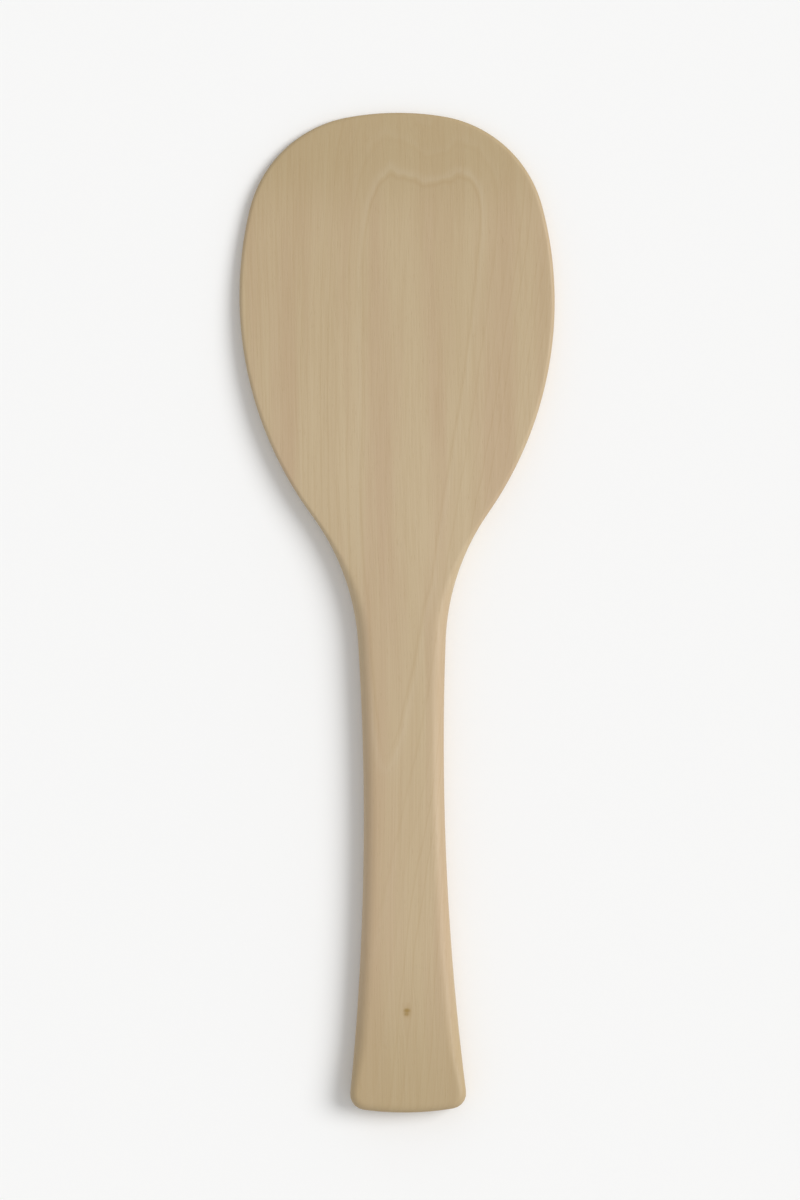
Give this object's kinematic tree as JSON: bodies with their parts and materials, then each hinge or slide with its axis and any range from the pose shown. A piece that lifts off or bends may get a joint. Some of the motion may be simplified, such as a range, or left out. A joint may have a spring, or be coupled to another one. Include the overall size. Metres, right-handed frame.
{
  "type": "rice paddle",
  "caption": "Flat wooden rice paddle with a broad round blade that thins towards its tip and a flared handle, shaped from one board.",
  "frame": {"origin": "middle of the flat back, half way along the paddle", "axes": "+Y from the handle's end to the blade's tip, +Z out of the front, X across the blade"},
  "size_m": [0.123, 0.39, 0.012],
  "materials": {
    "bare_wood": "pale flat-sawn hardwood, sanded smooth and left bare"
  },
  "bodies": {
    "root": {"paddle": "bare_wood"}
  },
  "joints": []
}
